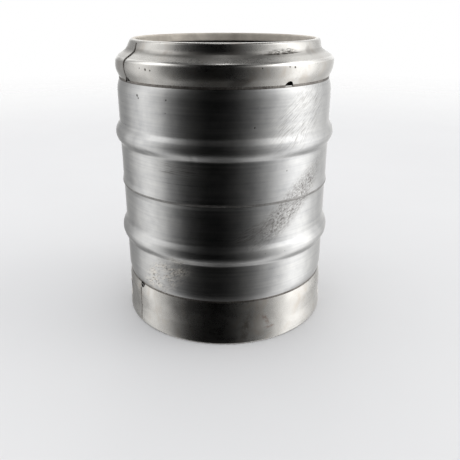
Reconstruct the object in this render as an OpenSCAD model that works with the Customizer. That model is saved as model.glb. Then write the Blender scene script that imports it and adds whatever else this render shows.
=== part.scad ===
// Stainless steel beer keg of 50 litres with a stepped foot ring, a plain head chime,
// two rolling hoops and a double-acting spear valve in its neck.
// It stands on its head chime, foot ring upwards, so the neck points down.
// Origin: centre of the head chime's rim, on the floor. The Z axis is the keg's own axis.

/* [Body] */
// Height over both rims
keg_h = 532; // [520:1:550]
// Diameter of the plain wall of the foot half (upper half here)
foot_wall_d = 398.8; // [397:0.2:401]
// Diameter of the plain wall of the head half (lower half here)
head_wall_d = 397.4; // [396:0.2:399]
// Wall thickness of the drawn halves
shell_t = 1.5; // [1.2:0.1:2]
// Height of the girth weld above the head chime's rim
girth_z = 273; // [271:0.5:275]
// Crown of the raised belt along the girth weld
belt_rise = 1.5; // [0.6:0.1:2]
// Half the width of that belt
belt_half_w = 12; // [8:1:16]

/* [Rolling hoops] */
// Distance from the girth weld to the crest of each hoop
hoop_offset = 94; // [88:1:98]
// Height of a hoop's crest above the wall
hoop_rise = 8.2; // [6:0.1:9]
// Half the width of a hoop at the wall
hoop_half_w = 22; // [21:1:24]
// Radius of a hoop's crest
hoop_crest_r = 22; // [20:1:24]
// Steepest angle of a hoop's flanks, in degrees
hoop_flank = 33; // [31:1:36]

/* [Ends] */
// Radius of the knuckle between wall and end
knuckle_r = 55; // [50:1:58]
// Radius of the crowned ends
crown_r = 900; // [850:10:1200]
// Height of the weld that joins the foot ring to the shell
foot_weld_z = 465.5; // [464:0.5:467]
// Height of the weld that joins the head chime to the shell
head_weld_z = 87; // [85:0.5:89]
// How far the shell has curved in at the foot ring's weld
foot_weld_inset = 5.6; // [5:0.1:6]
// How far the shell has curved in at the head chime's weld
head_weld_inset = 3.1; // [2.8:0.1:3.4]

/* [Chimes] */
// Sheet thickness of foot ring and head chime
chime_t = 2.2; // [1.8:0.1:2.6]
// Outer diameter of the foot ring's bulge
foot_bulge_d = 403; // [402:0.2:405]
// Outer diameter of the foot ring's narrow band, at its foot
foot_band_d = 358.6; // [356:0.2:364]
// Outer diameter of the foot ring's rolled lip
foot_lip_d = 350; // [346:0.5:352]
// Outer diameter of the head chime's plain band
head_band_d = 399.6; // [399:0.2:400.4]
// Outer diameter of the head chime's rolled rim
head_rim_d = 403.2; // [402:0.2:405]
// Radius of the foot ring's half-moon drain notches
foot_notch_r = 8; // [6:0.5:9]
// Radius of the head chime's drain notches
head_notch_r = 7; // [5:0.5:8]
// Bearing of the first foot ring notch, in degrees from +X
foot_notch_az = 32.5; // [0:0.5:90]
// Bearing of the first head chime notch, in degrees from +X
head_notch_az = 35.5; // [20:0.5:60]
// Bearing of the foot ring's upright seam, in degrees from +X
foot_seam_az = 212.5; // [205:0.5:220]
// Bearing of the head chime's upright seam, in degrees from +X
head_seam_az = 214.5; // [205:0.5:220]

/* [Handholds] */
// Length of a handhold around the chime
handhold_w = 112; // [90:1:120]
// Height of a handhold
handhold_h = 34; // [28:1:36]
// Height of a handhold's centre
handhold_z = 40; // [36:0.5:44]
// Depth of the lip turned in around a handhold
handhold_lip = 6; // [4:0.5:8]

/* [Neck] */
// Height of the neck's mouth above the rim
neck_z = 24; // [20:0.5:26]
// Outer diameter of the neck
neck_d = 72; // [70:0.5:76]
// Bore of the neck's mouth, which takes the tap coupler
mouth_bore_d = 55.2; // [54.8:0.1:56]
// Length of that bore above the coupler lugs
mouth_bore_l = 8.5; // [7:0.5:9]
// Opening between the two coupler lugs
lug_gap_d = 48.8; // [48.2:0.1:50]

/* [Spear] */
// Travel of the gas valve when a coupler presses it in
gas_travel = 7; // [5:0.5:7]
// Travel of the beer ball
ball_travel = 5; // [3:0.5:5]
// Diameter of the beer ball
ball_d = 16; // [15.6:0.1:16.4]
// Outer diameter of the siphon tube
siphon_d = 16; // [15.6:0.1:16]
// Gap between the siphon tube's end and the inside of the foot end, valve shut
siphon_gap = 13; // [11:0.5:20]
// Wire diameter of the gas valve's spring
gas_wire_d = 2.2; // [1.8:0.1:2.4]
// Wire diameter of the beer ball's spring
ball_wire_d = 0.9; // [0.7:0.1:1]

/* [Hidden] */
$fn = 96;

steel = [0.72, 0.72, 0.70];
dull_steel = [0.60, 0.59, 0.57];
weld_grey = [0.45, 0.44, 0.43];
spring_grey = [0.50, 0.52, 0.54];
rubber_black = [0.10, 0.10, 0.11];

arc_steps = 8;
slip = 0.2;             // slack between fixed parts that slide into each other
air = 0.15;             // gap left where a valve face closes
weld_root = 0.6;        // gap between the halves that the girth weld fills
bead_rise = 0.5;        // height of a weld bead above the sheet
bead_sink = 0.4;        // depth of a weld bead into the sheet
seam_w = 4;             // width of an upright seam weld

foot_wall_r = foot_wall_d / 2;
head_wall_r = head_wall_d / 2;
hoop_fillet_sum = (hoop_half_w - hoop_rise / tan(hoop_flank))
    / (sin(hoop_flank) - (1 - cos(hoop_flank)) / tan(hoop_flank));
hoop_fillet_r = hoop_fillet_sum - hoop_crest_r;

neck_r = neck_d / 2;
neck_hole_r = neck_r + slip;
mouth_r = mouth_bore_d / 2;
lug_r = lug_gap_d / 2;
lug_z = neck_z + mouth_bore_l;
lug_t = 3;
lug_arc = 80;
mouth_step = 0.6;               // step at the inner end of the mouth's bore
lug_room_z = neck_z + 16;       // foot of the space in which the coupler's lugs turn
throat_r = 23.9;                // bore that holds the spear's flange
clip_groove_z = neck_z + 17;
clip_groove_h = 2.2;
seat_z = neck_z + 26;           // shoulder that the spear's seal rests on
neck_end_z = neck_z + 38;
guide_r = 21.5;                 // bore that the spear's sleeve passes through

flange_z = clip_groove_z + clip_groove_h + slip;
flange_h = 4;
flange_r = throat_r - 0.3;
sleeve_r = guide_r - 0.3;
sleeve_t = 1.4;
sleeve_end_z = neck_z + 74;
valve_face_z = flange_z + 2.6;  // inner face of the housing's lip, where the gas seal closes
lip_open_r = 15.5;

seal_z = valve_face_z + air;
seal_h = 5.85;
seal_r = 18.2;
ball_lip_r = 7.3;
ball_lip_h = 3.35;
ball_room_r = 9.2;
ball_r = ball_d / 2;
ball_z = seal_z + ball_lip_h + sqrt(pow(ball_r, 2) - pow(ball_lip_r, 2)) + air;

stem_z = seal_z + seal_h + 0.05;
stem_flange_t = 2.25;
stem_socket_z = neck_z + 51;
stem_end_z = stem_socket_z + 9;
seat_disc_t = 2;
retainer_z = stem_end_z + gas_travel + 1;
retainer_t = 2;

foot_apex_in = foot_weld_knuckle_z() - crown_drop(foot_wall_r) + crown_r - shell_t;
siphon_end_z = foot_apex_in - siphon_gap;

// ---- profile helpers; every outline is a list of [radius, height] points ----

// Points of an arc around c, from angle a0 to a1
function arc(c, r, a0, a1, n = arc_steps) =
    [for (i = [0:n]) let (a = a0 + (a1 - a0) * i / n) [c[0] + r * cos(a), c[1] + r * sin(a)]];

function unit(v) = v / norm(v);

// Corner points [radius, height, fillet radius] turned into a path with round corners
function rounded(corners, n = arc_steps) = [
    for (i = [0:len(corners) - 1])
        let (p = corners[i], r = p[2], here = [p[0], p[1]])
        if (r == 0 || i == 0 || i == len(corners) - 1) here
        else
            let (
                u = unit([corners[i - 1][0], corners[i - 1][1]] - here),
                v = unit([corners[i + 1][0], corners[i + 1][1]] - here),
                half = acos(u * v) / 2,
                centre = here + unit(u + v) * r / sin(half),
                from = here + u * r / tan(half) - centre,
                to = here + v * r / tan(half) - centre,
                a0 = atan2(from[1], from[0]),
                turn = atan2(to[1], to[0]) - a0,
                sweep = turn > 180 ? turn - 360 : turn < -180 ? turn + 360 : turn
            )
            each arc(centre, r, a0, a0 + sweep, n)
];

// The path moved by t to its right-hand side
function beside(path, t) = [
    for (i = [0:len(path) - 1])
        let (
            a = unit(path[min(i + 1, len(path) - 1)] - path[min(i, len(path) - 2)]),
            b = unit(path[max(i, 1)] - path[max(i - 1, 0)]),
            m = unit(a + b),
            p = path[i] + [m[1], -m[0]] * t / sqrt((1 + a * b) / 2)
        )
        [max(p[0], 0), p[1]]
];

function backwards(path) = [for (i = [len(path) - 1:-1:0]) path[i]];

module revolve(points, angle = 360, start = 0) {
    rotate([0, 0, start])
        rotate_extrude(angle = angle)
            polygon(points);
}

// A sheet of thickness t whose outer face follows the path, turned about the axis
module revolved_sheet(path, t, angle = 360, start = 0) {
    revolve(concat(path, backwards(beside(path, t))), angle, start);
}

// ---- shell halves ----

// Distance from the wall's end to the weld, along the axis, on a knuckle that comes in by inset
function knuckle_rise(inset) = sqrt(pow(knuckle_r, 2) - pow(knuckle_r - inset, 2));
function foot_weld_knuckle_z() = foot_weld_z - knuckle_rise(foot_weld_inset);
function head_weld_knuckle_z() = head_weld_z + knuckle_rise(head_weld_inset);
// Distance from the knuckle's centre to the crown's centre, along the axis
function crown_drop(wall_r) = sqrt(pow(crown_r - knuckle_r, 2) - pow(wall_r - knuckle_r, 2));

// Outline of one half in [radius, distance from the girth plane], ending at radius end_r
function half_path(wall_r, knuckle_u, end_r) =
    let (
        base = wall_r + hoop_rise,
        crest = [base - hoop_crest_r, hoop_offset],
        fillet_in = [wall_r + hoop_fillet_r, hoop_offset - hoop_half_w],
        fillet_out = [wall_r + hoop_fillet_r, hoop_offset + hoop_half_w],
        tangent = asin((wall_r - knuckle_r) / (crown_r - knuckle_r)),
        crown_c = [0, knuckle_u - crown_drop(wall_r)]
    )
    concat(
        [for (i = [0:6]) let (s = i / 6)
            [wall_r + belt_rise * pow(cos(90 * s), 2), weld_root / 2 + (belt_half_w - weld_root / 2) * s]],
        arc(fillet_in, hoop_fillet_r, 180, 180 - hoop_flank, 4),
        arc(crest, hoop_crest_r, -hoop_flank, hoop_flank, 10),
        arc(fillet_out, hoop_fillet_r, 180 + hoop_flank, 180, 4),
        arc([wall_r - knuckle_r, knuckle_u], knuckle_r, 0, 90 - tangent, 12),
        arc(crown_c, crown_r, 91 - tangent, 90 - asin(end_r / crown_r), 8)
    );

function upward(path) = [for (p = path) [p[0], girth_z + p[1]]];
function downward(path) = [for (p = path) [p[0], girth_z - p[1]]];

foot_path = upward(half_path(foot_wall_r, foot_weld_knuckle_z() - girth_z, 0));
head_path = downward(half_path(head_wall_r, girth_z - head_weld_knuckle_z(), neck_hole_r));

module foot_half_shell() {
    color(steel)
        revolve(concat(foot_path, backwards(beside(foot_path, -shell_t))));
}

module head_half_shell() {
    color(steel)
        revolve(concat(head_path, backwards(beside(head_path, shell_t))));
}

module girth_weld() {
    crest_r = (foot_wall_r + head_wall_r) / 2 + belt_rise;
    bead_w = 2.2;
    color(weld_grey)
        revolve(concat(
            [[crest_r - shell_t, girth_z + weld_root / 2], [crest_r - shell_t, girth_z - weld_root / 2]],
            [[crest_r - bead_sink, girth_z - weld_root / 2], [crest_r - bead_sink, girth_z - bead_w]],
            [for (i = [0:6]) let (s = i / 3 - 1)
                [crest_r + bead_rise * (1 - s * s), girth_z + bead_w * s]],
            [[crest_r - bead_sink, girth_z + bead_w], [crest_r - bead_sink, girth_z + weld_root / 2]]
        ));
}

// Everything inside the shell's outer face, used to seat the chimes on the knuckles
module shell_envelope(path, end_z) {
    revolve(concat([[0, path[0][1]]], beside(path, path[0][1] > end_z ? -0.05 : 0.05), [[0, end_z]]));
}

module foot_envelope() {
    shell_envelope(foot_path, foot_path[len(foot_path) - 1][1]);
}

module head_envelope() {
    shell_envelope(head_path, head_path[len(head_path) - 1][1]);
}

// ---- foot ring ----

foot_lip_w = 10;
foot_lip_drop = 15;
foot_ledge_z = foot_weld_z + 49.1;
foot_ledge_fall = 14.2;
foot_ring_path = rounded([
    [foot_lip_d / 2 - foot_lip_w, keg_h - foot_lip_drop, 0],
    [foot_lip_d / 2 - foot_lip_w, keg_h, 3.8],
    [foot_lip_d / 2 - 0.4, keg_h, 4.8],
    [foot_band_d / 2, foot_ledge_z, 16],
    [foot_bulge_d / 2, foot_ledge_z - foot_ledge_fall, 11],
    [foot_bulge_d / 2, foot_weld_z + 22.5, 38],
    [foot_bulge_d / 2 - 1.6, foot_weld_z + 14.3, 40],
    [foot_wall_r - foot_weld_inset - 0.3, foot_weld_z - 0.4, 0]
]);

// Cutters for half-moon notches, one radial cylinder for each bearing
module notches(count, first_az, z, notch_r) {
    for (i = [0:count - 1])
        rotate([0, 0, first_az + 360 / count * i])
            translate([150, 0, z])
                rotate([0, 90, 0])
                    cylinder(r = notch_r, h = 70);
}

module foot_notches() {
    notches(4, foot_notch_az, foot_weld_z, foot_notch_r);
}

module foot_ring() {
    color(dull_steel)
        difference() {
            revolved_sheet(foot_ring_path, chime_t);
            foot_envelope();
            foot_notches();
        }
}

module foot_ring_weld() {
    groove_r = foot_wall_r - foot_weld_inset;
    color(weld_grey)
        difference() {
            revolve([
                [groove_r - 2.2, foot_weld_z + 2.4], [groove_r + 0.4, foot_weld_z - 2.2],
                [groove_r + 1.1, foot_weld_z - 1.4], [groove_r + 1.0, foot_weld_z + 0.6],
                [groove_r + 1.2, foot_weld_z + 2.2]
            ]);
            foot_notches();
        }
}

// A bead along the sheet's outer face, over the points of the path that lie
// between two heights and outside min_r; side is 1 where that face is on the path's left
module upright_seam(path, side, z_low, z_high, min_r, az) {
    span = [for (p = path) if (p[1] > z_low && p[1] < z_high && p[0] > min_r) p];
    angle = seam_w / min_r * 180 / PI;
    revolve(
        concat(beside(span, -side * bead_rise), backwards(beside(span, side * bead_sink))),
        angle, az - angle / 2
    );
}

module foot_ring_seam() {
    color(weld_grey)
        difference() {
            upright_seam(foot_ring_path, 1, foot_weld_z - 1, keg_h - 4, foot_lip_d / 2 - 3, foot_seam_az);
            foot_envelope();
            foot_notches();
        }
}

// ---- head chime ----

head_roll_w = 11;
head_roll_h = 7.5;
head_chime_path = rounded([
    [head_rim_d / 2 - head_roll_w, head_roll_h, 0],
    [head_rim_d / 2 - head_roll_w, 0, 3.6],
    [head_rim_d / 2, 0, 4.5],
    [head_rim_d / 2, 11, 12],
    [head_band_d / 2, 36, 40],
    [head_band_d / 2, head_weld_z - 17, 70],
    [head_wall_r - head_weld_inset - 0.4, head_weld_z - 0.2, 0]
]);

// A radial bar whose section is the handhold's outline grown by extra
module handhold_bar(side, extra, r_from, r_to) {
    h = handhold_h + 2 * extra;
    w = handhold_w + 2 * extra;
    corner = 12 + extra;
    translate([0, 0, handhold_z])
        rotate([0, side * 90, 0])
            translate([0, 0, r_from])
                linear_extrude(r_to - r_from) {
                    square([h - 2 * corner, w], center = true);
                    square([h, w - 2 * corner], center = true);
                    for (u = [-1, 1], v = [-1, 1])
                        translate([u * (h / 2 - corner), v * (w / 2 - corner)])
                            circle(corner);
                }
}

module head_notches() {
    notches(2, head_notch_az, head_weld_z - 3.5, head_notch_r);
}

module head_chime() {
    color(dull_steel)
        difference() {
            union() {
                revolved_sheet(head_chime_path, -chime_t);
                intersection() {
                    for (side = [-1, 1])
                        handhold_bar(side, chime_t, head_band_d / 2 - chime_t - handhold_lip, 202);
                    revolve(concat([[0, head_roll_h]], beside(head_chime_path, -0.3), [[0, head_weld_z]]));
                }
            }
            for (side = [-1, 1])
                handhold_bar(side, 0, 150, 215);
            head_envelope();
            head_notches();
        }
}

module head_chime_weld() {
    groove_r = head_wall_r - head_weld_inset;
    color(weld_grey)
        difference() {
            revolve([
                [groove_r - 1.6, head_weld_z - 2.2], [groove_r + 0.8, head_weld_z - 1.8],
                [groove_r + 0.9, head_weld_z + 0.4], [groove_r + 0.9, head_weld_z + 1.8],
                [groove_r + 0.3, head_weld_z + 2.4]
            ]);
            head_notches();
        }
}

module head_chime_seam() {
    color(weld_grey)
        difference() {
            upright_seam(head_chime_path, -1, 5, head_weld_z, head_wall_r - 6, head_seam_az);
            head_envelope();
            head_notches();
        }
}

// ---- neck ----

module valve_neck() {
    edge = 0.8;
    color(steel)
        union() {
            revolve([
                [mouth_r + edge, neck_z], [neck_r - edge, neck_z], [neck_r, neck_z + edge],
                [neck_r, neck_z + 24], [neck_r - 4, neck_z + 27], [neck_r - 8, neck_end_z],
                [guide_r, neck_end_z], [guide_r, seat_z], [throat_r, seat_z],
                [throat_r, clip_groove_z + clip_groove_h],
                [throat_r + 1.9, clip_groove_z + clip_groove_h], [throat_r + 1.9, clip_groove_z],
                [throat_r, clip_groove_z], [throat_r, lug_room_z],
                [mouth_r - mouth_step, lug_room_z], [mouth_r - mouth_step, lug_z - mouth_step],
                [mouth_r, lug_z - mouth_step], [mouth_r, neck_z + edge]
            ]);
            for (i = [0, 1])
                revolve([
                    [lug_r, lug_z], [mouth_r + 1, lug_z],
                    [mouth_r + 1, lug_z + lug_t], [lug_r, lug_z + lug_t]
                ], lug_arc, 180 * i - lug_arc / 2);
        }
}

module neck_weld() {
    dome_z = head_path[len(head_path) - 1][1];
    leg = 4;
    color(weld_grey)
        revolve([
            [neck_r - bead_sink, dome_z - leg], [neck_r, dome_z - leg],
            [neck_r + 1.3, dome_z - 1.5], [neck_r + leg, dome_z + 0.2],
            [neck_r + leg - 0.4, dome_z + bead_sink], [neck_r - bead_sink, dome_z + bead_sink]
        ]);
}

// ---- spear, fixed parts ----

module spear_housing() {
    window_w = 13;
    window_z = stem_z + 8;
    window_h = 24;
    slot_w = 9;
    color(steel)
        difference() {
            revolve([
                [lip_open_r, flange_z], [flange_r - 0.6, flange_z], [flange_r, flange_z + 0.6],
                [flange_r, flange_z + flange_h], [sleeve_r, flange_z + flange_h],
                [sleeve_r, sleeve_end_z], [sleeve_r - sleeve_t, sleeve_end_z],
                [sleeve_r - sleeve_t, valve_face_z], [lip_open_r, valve_face_z]
            ]);
            for (i = [0:3])
                rotate([0, 0, 45 + 90 * i])
                    translate([0, -window_w / 2, window_z])
                        cube([30, window_w, window_h]);
            for (i = [0:2])
                rotate([0, 0, 120 * i])
                    translate([0, -slot_w / 2, retainer_z - slip])
                        cube([30, slot_w, retainer_t + slip + 0.05]);
        }
}

module neck_seal() {
    seal_wire_r = 1.25;
    color(rubber_black)
        rotate_extrude()
            translate([sleeve_r + seal_wire_r + 0.15, seat_z - seal_wire_r - 0.05])
                circle(seal_wire_r);
}

module retaining_ring() {
    gap_angle = 36;
    color(spring_grey)
        revolve([
            [throat_r - 1.6, clip_groove_z + slip], [throat_r + 1.7, clip_groove_z + slip],
            [throat_r + 1.7, clip_groove_z + clip_groove_h - 0.3],
            [throat_r - 1.6, clip_groove_z + clip_groove_h - 0.3]
        ], 360 - gap_angle, gap_angle / 2);
}

module spring_retainer() {
    disc_r = sleeve_r - sleeve_t - slip;
    bush_r = siphon_d / 2 + 0.4;
    gas_hole_r = 2.2;
    tab_w = 8;
    color(steel)
        difference() {
            union() {
                translate([0, 0, retainer_z])
                    cylinder(r = disc_r, h = retainer_t);
                translate([0, 0, retainer_z])
                    cylinder(r = bush_r + 1.8, h = retainer_t + 6);
                for (i = [0:2])
                    rotate([0, 0, 120 * i])
                        translate([disc_r - 3, -tab_w / 2, retainer_z])
                            cube([sleeve_r - disc_r + 2.8, tab_w, retainer_t]);
            }
            translate([0, 0, retainer_z - 1])
                cylinder(r = bush_r, h = retainer_t + 8);
            for (i = [0:5])
                rotate([0, 0, 60 * i + 30])
                    translate([15, 0, retainer_z - 1])
                        cylinder(r = gas_hole_r, h = retainer_t + 2);
        }
}

// Height along a spring, as a share of its length, with one closed turn at each end
function coil_lift(s, turns, closed) =
    s * turns < 1 ? closed * s * turns
    : s * turns > turns - 1 ? 1 - closed * (turns - s * turns)
    : closed + (1 - 2 * closed) * (s * turns - 1) / (turns - 2);

// Wire coil between heights z0 and z1, which are the outer faces of its end turns
module coil(z0, z1, coil_r, wire_d, turns, per_turn = 16, sides = 8) {
    n = turns * per_turn;
    low = z0 + wire_d / 2;
    rise = z1 - z0 - wire_d;
    closed = wire_d * 1.06 / rise;
    points = [
        for (i = [0:n], j = [0:sides - 1])
            let (
                a = 360 * i / per_turn,
                b = 360 * j / sides,
                r = coil_r + wire_d / 2 * cos(b)
            )
            [r * cos(a), r * sin(a), low + rise * coil_lift(i / n, turns, closed) + wire_d / 2 * sin(b)]
    ];
    faces = concat(
        [for (i = [0:n - 1], j = [0:sides - 1])
            let (k = (j + 1) % sides)
            [i * sides + j, i * sides + k, (i + 1) * sides + k, (i + 1) * sides + j]],
        [[for (j = [sides - 1:-1:0]) j]],
        [[for (j = [0:sides - 1]) n * sides + j]]
    );
    polyhedron(points, faces);
}

module gas_spring() {
    color(spring_grey)
        coil(stem_z + stem_flange_t + 0.05, retainer_z - 0.05, 14.4, gas_wire_d, 7);
}

// ---- spear, moving parts ----

module gas_seal() {
    edge = 1.2;
    color(rubber_black)
        revolve([
            [ball_lip_r, seal_z + 0.8], [ball_lip_r + 0.8, seal_z], [seal_r - edge, seal_z],
            [seal_r, seal_z + edge], [seal_r, seal_z + seal_h - 0.6], [seal_r - 0.6, seal_z + seal_h],
            [ball_room_r, seal_z + seal_h], [ball_room_r, seal_z + ball_lip_h + 1.2],
            [ball_lip_r, seal_z + ball_lip_h]
        ]);
}

module stem_head() {
    socket_r = siphon_d / 2 + 0.05;
    color(steel)
        revolve([
            [ball_room_r, stem_z], [seal_r - 1, stem_z], [seal_r - 1, stem_z + stem_flange_t],
            [ball_room_r + 1.8, stem_z + stem_flange_t], [ball_room_r + 1.8, stem_socket_z],
            [socket_r + 2.2, stem_socket_z + 1.5], [socket_r + 2.2, stem_end_z],
            [socket_r, stem_end_z], [socket_r, stem_socket_z], [ball_room_r, stem_socket_z]
        ]);
}

module siphon_tube() {
    wall = 1;
    foot_cut_r = 3;
    start_z = stem_socket_z + slip;
    color(steel)
        difference() {
            translate([0, 0, start_z])
                cylinder(r = siphon_d / 2, h = siphon_end_z - start_z);
            translate([0, 0, start_z - 1])
                cylinder(r = siphon_d / 2 - wall, h = siphon_end_z - start_z + 2);
            for (i = [0, 1])
                translate([0, 0, siphon_end_z])
                    rotate([0, 90, 90 * i])
                        cylinder(r = foot_cut_r, h = 30, center = true);
        }
}

module spring_seat() {
    hole_ring_r = 6.6;
    color(steel)
        difference() {
            translate([0, 0, stem_socket_z - seat_disc_t])
                cylinder(r = ball_room_r - 0.1, h = seat_disc_t);
            translate([0, 0, stem_socket_z - seat_disc_t - 1])
                cylinder(r = 3.6, h = seat_disc_t + 2);
            for (i = [0:5])
                rotate([0, 0, 60 * i])
                    translate([hole_ring_r, 0, stem_socket_z - seat_disc_t - 1])
                        cylinder(r = 1.1, h = seat_disc_t + 2);
        }
}

ball_spring_r = 5.2;

module ball_spring() {
    touch = sqrt(pow(ball_r + ball_wire_d / 2, 2) - pow(ball_spring_r, 2));
    color(spring_grey)
        coil(ball_z + touch - ball_wire_d / 2 + 0.1, stem_socket_z - seat_disc_t - 0.05,
            ball_spring_r, ball_wire_d, 6, 14, 6);
}

module beer_ball() {
    color(steel)
        translate([0, 0, ball_z])
            sphere(r = ball_r);
}

foot_half_shell();
head_half_shell();
girth_weld();
foot_ring();
foot_ring_weld();
foot_ring_seam();
head_chime();
head_chime_weld();
head_chime_seam();
valve_neck();
neck_weld();
spear_housing();
neck_seal();
retaining_ring();
spring_retainer();
gas_spring();
gas_seal();
stem_head();
siphon_tube();
spring_seat();
ball_spring();
beer_ball();
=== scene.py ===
"""Looks for a 50 litre steel beer keg that stands on its head chime, foot ring upwards.

Lengths in the profiles are in millimetres, as in the part's own design, and MM turns them into
metres where meshes are made. Bearings are in degrees from +X, seen from above.
"""

import math
import random

import bmesh
import bpy
import numpy as np
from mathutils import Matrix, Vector


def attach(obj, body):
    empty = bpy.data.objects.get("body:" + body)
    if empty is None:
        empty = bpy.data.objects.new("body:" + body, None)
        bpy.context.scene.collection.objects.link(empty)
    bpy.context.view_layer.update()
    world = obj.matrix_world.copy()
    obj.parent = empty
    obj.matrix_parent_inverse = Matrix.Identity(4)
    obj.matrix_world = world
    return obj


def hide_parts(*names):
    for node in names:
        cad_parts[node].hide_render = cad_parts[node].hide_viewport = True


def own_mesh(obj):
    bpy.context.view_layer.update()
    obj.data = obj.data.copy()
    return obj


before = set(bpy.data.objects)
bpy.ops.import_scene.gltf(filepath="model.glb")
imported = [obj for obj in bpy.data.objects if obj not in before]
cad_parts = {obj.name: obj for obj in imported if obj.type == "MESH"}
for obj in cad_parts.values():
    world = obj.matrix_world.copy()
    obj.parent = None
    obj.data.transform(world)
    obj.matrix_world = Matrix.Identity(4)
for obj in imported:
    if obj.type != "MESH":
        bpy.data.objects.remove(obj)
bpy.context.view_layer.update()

MM = 0.001
FRONT = -90.0  # bearing of the side that faces the camera

# ---- sizes of the keg, in mm ----

KEG_H = 532.0
GIRTH_Z = 273.0
FOOT_WALL_R = 199.4
HEAD_WALL_R = 198.7
SHELL_T = 1.5
BELT_RISE = 1.5
BELT_HALF_W = 12.0
HOOP_OFFSET = 94.0
HOOP_RISE = 8.2
HOOP_HALF_W = 22.0
HOOP_CREST_R = 22.0
HOOP_FLANK = 33.0
KNUCKLE_R = 55.0
CROWN_R = 900.0
FOOT_WELD_Z = 465.5
HEAD_WELD_Z = 87.0
FOOT_WELD_INSET = 5.6
LEDGE_TOP_Z = 514.6
SHOULDER_Z = 500.4
HEAD_WELD_INSET = 3.1
CHIME_T = 2.2
FOOT_NOTCH_R = 8.0
HEAD_NOTCH_R = 7.0
FOOT_NOTCH_AZ = 32.5
HEAD_NOTCH_AZ = 35.5
HEAD_NOTCH_Z = HEAD_WELD_Z - 3.5
FOOT_SEAM_AZ = 212.5
HEAD_SEAM_AZ = 214.5
HANDHOLD_W = 112.0
HANDHOLD_H = 34.0
HANDHOLD_Z = 40.0
HANDHOLD_CORNER = 12.0
HANDHOLD_LIP = 6.0
NECK_R = 36.0
WALL_R = 200.0  # the wall, rounded, for marks that lie on it


# ---- profiles: lists of (radius, height) ----

def arc(cx, cz, r, a0, a1, n):
    """Points of an arc from angle a0 to a1, in degrees."""
    turn = [math.radians(a0 + (a1 - a0) * i / n) for i in range(n + 1)]
    return [(cx + r * math.cos(t), cz + r * math.sin(t)) for t in turn]


def rounded(corners, n=10):
    """Corners (radius, height, fillet radius) as a path with round corners."""
    path = []
    for i, (x, z, r) in enumerate(corners):
        if r == 0 or i in (0, len(corners) - 1):
            path.append((x, z))
            continue
        here = Vector((x, z))
        u = (Vector(corners[i - 1][:2]) - here).normalized()
        v = (Vector(corners[i + 1][:2]) - here).normalized()
        half = math.acos(u.dot(v)) / 2
        centre = here + (u + v).normalized() * r / math.sin(half)
        start = here + u * r / math.tan(half) - centre
        end = here + v * r / math.tan(half) - centre
        a0 = math.degrees(math.atan2(start.y, start.x))
        sweep = math.degrees(math.atan2(end.y, end.x)) - a0
        sweep = (sweep + 180) % 360 - 180
        path += arc(centre.x, centre.y, r, a0, a0 + sweep, n)
    return path


def spaced(path, step):
    """The path with points added wherever two lie more than step apart."""
    out = [path[0]]
    for a, b in zip(path, path[1:]):
        n = max(1, math.ceil(math.dist(a, b) / step))
        for i in range(1, n + 1):
            out.append((a[0] + (b[0] - a[0]) * i / n, a[1] + (b[1] - a[1]) * i / n))
    return out


def beside(path, t):
    """The path moved by t to its right-hand side."""
    out = []
    for i, (x, z) in enumerate(path):
        a = Vector(path[min(i + 1, len(path) - 1)]) - Vector(path[min(i, len(path) - 2)])
        b = Vector(path[max(i, 1)]) - Vector(path[max(i - 1, 0)])
        a.normalize()
        b.normalize()
        m = (a + b).normalized()
        k = t / math.sqrt((1 + a.dot(b)) / 2)
        out.append((max(x + m.y * k, 0.0), z - m.x * k))
    return out


def sheet_outline(path, t):
    """Closed outline of a sheet whose outer face follows the path."""
    return path + beside(path, t)[::-1]


def knuckle_rise(inset):
    """Height over which the knuckle draws the wall in by inset."""
    return math.sqrt(KNUCKLE_R**2 - (KNUCKLE_R - inset) ** 2)


def half_path(wall_r, knuckle_u, end_r):
    """One shell half as (radius, distance from the girth plane)."""
    flank = math.radians(HOOP_FLANK)
    fillet_sum = (HOOP_HALF_W - HOOP_RISE / math.tan(flank)) / (
        math.sin(flank) - (1 - math.cos(flank)) / math.tan(flank)
    )
    fillet = fillet_sum - HOOP_CREST_R
    crest = wall_r + HOOP_RISE - HOOP_CREST_R
    drop = math.sqrt((CROWN_R - KNUCKLE_R) ** 2 - (wall_r - KNUCKLE_R) ** 2)
    tangent = math.degrees(math.asin((wall_r - KNUCKLE_R) / (CROWN_R - KNUCKLE_R)))
    path = []
    for i in range(11):
        s = i / 10
        rise = BELT_RISE * math.cos(math.radians(90 * s)) ** 2
        path.append((wall_r + rise, 0.3 + (BELT_HALF_W - 0.3) * s))
    path += arc(wall_r + fillet, HOOP_OFFSET - HOOP_HALF_W, fillet, 180, 180 - HOOP_FLANK, 8)
    path += arc(crest, HOOP_OFFSET, HOOP_CREST_R, -HOOP_FLANK, HOOP_FLANK, 20)
    path += arc(wall_r + fillet, HOOP_OFFSET + HOOP_HALF_W, fillet, 180 + HOOP_FLANK, 180, 8)
    path += arc(wall_r - KNUCKLE_R, knuckle_u, KNUCKLE_R, 0, 90 - tangent, 24)
    end = 90 - math.degrees(math.asin(end_r / CROWN_R))
    path += arc(0, knuckle_u - drop, CROWN_R, 91 - tangent, end, 24)
    return spaced(path, 4.0)


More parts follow.
